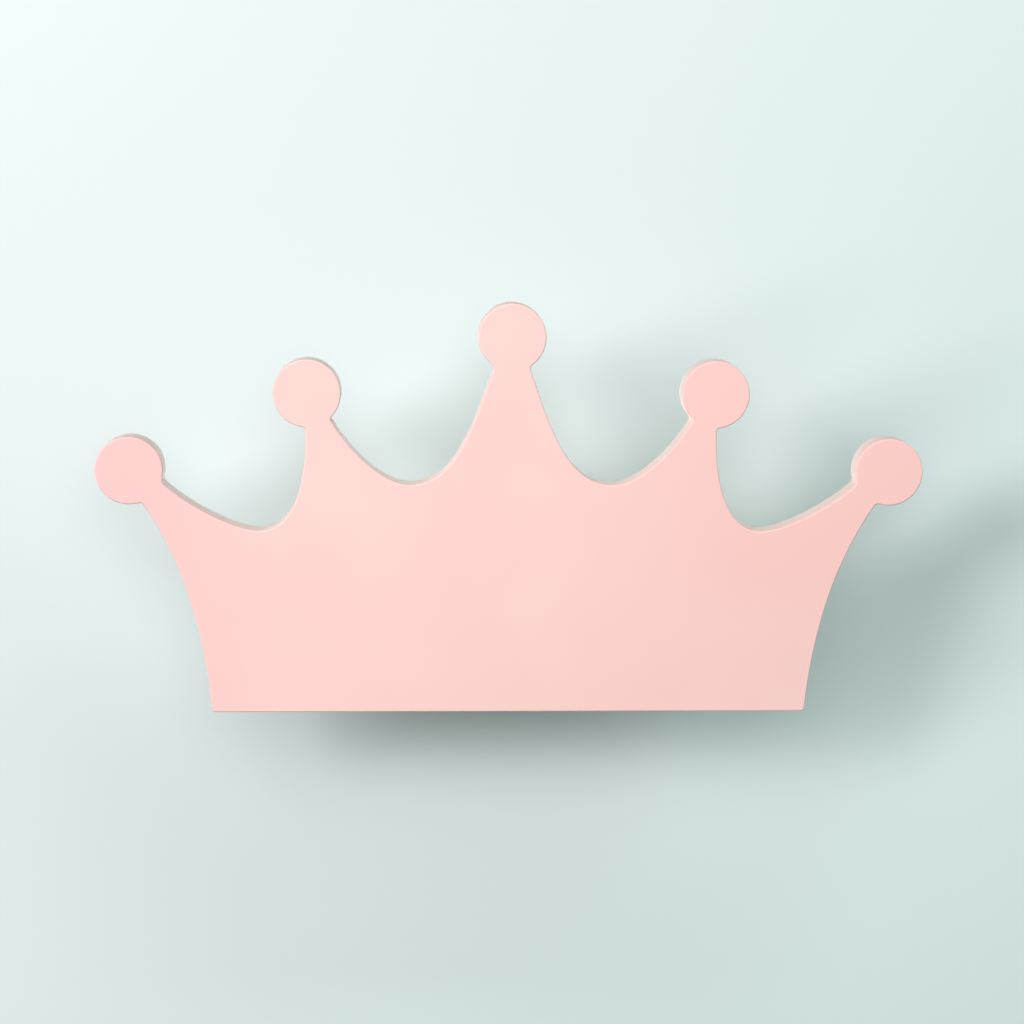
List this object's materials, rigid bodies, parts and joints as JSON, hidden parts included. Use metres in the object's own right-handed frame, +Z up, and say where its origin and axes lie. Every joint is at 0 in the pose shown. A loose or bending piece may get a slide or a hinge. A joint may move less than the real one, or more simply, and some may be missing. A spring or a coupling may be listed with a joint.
{
  "type": "wall lamp",
  "caption": "Crown-shaped wall lamp: a flat pink crown board on posts in front of a steel canopy that hides lamp holders and bulbs, lifting off its wall strap.",
  "frame": {"origin": "middle of the wall strap's back face, on the wall plane", "axes": "+X to the right seen from the front, +Z up, +Y into the wall; the lamp comes forward along -Y"},
  "size_m": [0.42, 0.082, 0.2094],
  "materials": {
    "face_pink": "satin pink facing sheet with a small rounded edge",
    "board_edge": "fibreboard sealed and painted off-white on its edges and back",
    "steel_zinc": "bright zinc-plated sheet steel",
    "screw_steel": "zinc-plated machine screws, nuts and washers",
    "canopy_paint": "white powder coat, fine orange peel",
    "post_paint": "white powder coat",
    "brass": "turned brass",
    "holder_plastic": "white moulded thermoplastic",
    "ceramic": "cream heat-resistant moulding",
    "block_plastic": "natural nylon",
    "rubber_black": "soft black rubber",
    "wire_brown": "brown insulation with a bare copper end",
    "wire_blue": "blue insulation with a bare copper end",
    "wire_earth": "green and yellow insulation with a bare copper end",
    "opal_glass": "opal diffusing globe",
    "bulb_collar": "white moulded collar",
    "bulb_cap": "nickel-plated rolled screw cap",
    "black_glass": "black insulating glass",
    "solder": "tin-plated contact",
    "led_board": "white circuit board with yellow chips"
  },
  "bodies": {
    "wall_strap": {"wall_strap": "steel_zinc", "lock_nuts": "screw_steel"},
    "lamp": {"canopy": "canopy_paint", "wire_grommet": "rubber_black", "terminal_block": "block_plastic", "terminal_sleeves": "brass", "terminal_screws": "screw_steel", "terminal_fixing_screw": "screw_steel", "earth_screw": "screw_steel", "earth_tag": "solder", "earth_washer": "screw_steel", "earth_nut": "screw_steel", "earth_wire": "wire_earth", "live_wire_left": "wire_brown", "live_wire_right": "wire_brown", "neutral_wire_left": "wire_blue", "neutral_wire_right": "wire_blue", "holder_bracket_left": "steel_zinc", "holder_bracket_right": "steel_zinc", "bracket_screws": "screw_steel", "bracket_nuts": "screw_steel", "nipple_left": "brass", "nipple_right": "brass", "nipple_nut_left": "brass", "nipple_nut_right": "brass", "holder_cap_left": "holder_plastic", "holder_cap_right": "holder_plastic", "holder_body_left": "holder_plastic", "holder_body_right": "holder_plastic", "contact_base_left": "ceramic", "contact_base_right": "ceramic", "centre_contact_left": "brass", "centre_contact_right": "brass", "side_contact_left": "brass", "side_contact_right": "brass", "post_upper_left": "post_paint", "post_upper_right": "post_paint", "post_lower_left": "post_paint", "post_lower_right": "post_paint", "post_screws": "screw_steel", "post_washers": "screw_steel", "board_inserts": "brass", "crown_board": "board_edge", "crown_face": "face_pink"},
    "lock_screw_left": {"lock_screw_left": "screw_steel"},
    "lock_screw_right": {"lock_screw_right": "screw_steel"},
    "bulb_left": {"bulb_globe_left": "opal_glass", "bulb_collar_left": "bulb_collar", "bulb_cap_left": "bulb_cap", "bulb_insulator_left": "black_glass", "bulb_tip_left": "solder", "led_disc_left": "led_board"},
    "bulb_right": {"bulb_globe_right": "opal_glass", "bulb_collar_right": "bulb_collar", "bulb_cap_right": "bulb_cap", "bulb_insulator_right": "black_glass", "bulb_tip_right": "solder", "led_disc_right": "led_board"}
  },
  "joints": [
    {"name": "lift_off", "type": "slide", "parent": "wall_strap", "child": "lamp", "axis": [0, 0, 1], "range_m": [0, 0.008]},
    {"name": "lock_left_turn", "type": "hinge", "parent": "wall_strap", "child": "lock_screw_left", "pos_m": [-0.062, -0.01, 0], "axis": [-1, 0, 0], "range_deg": [0, 1080]},
    {"name": "lock_right_turn", "type": "hinge", "parent": "wall_strap", "child": "lock_screw_right", "pos_m": [0.062, -0.01, 0], "axis": [1, 0, 0], "range_deg": [0, 1080]},
    {"name": "bulb_left_out", "type": "slide", "parent": "lamp", "child": "bulb_left", "axis": [-1, 0, 0], "range_m": [0, 0.026]},
    {"name": "bulb_right_out", "type": "slide", "parent": "lamp", "child": "bulb_right", "axis": [1, 0, 0], "range_m": [0, 0.026]}
  ]
}
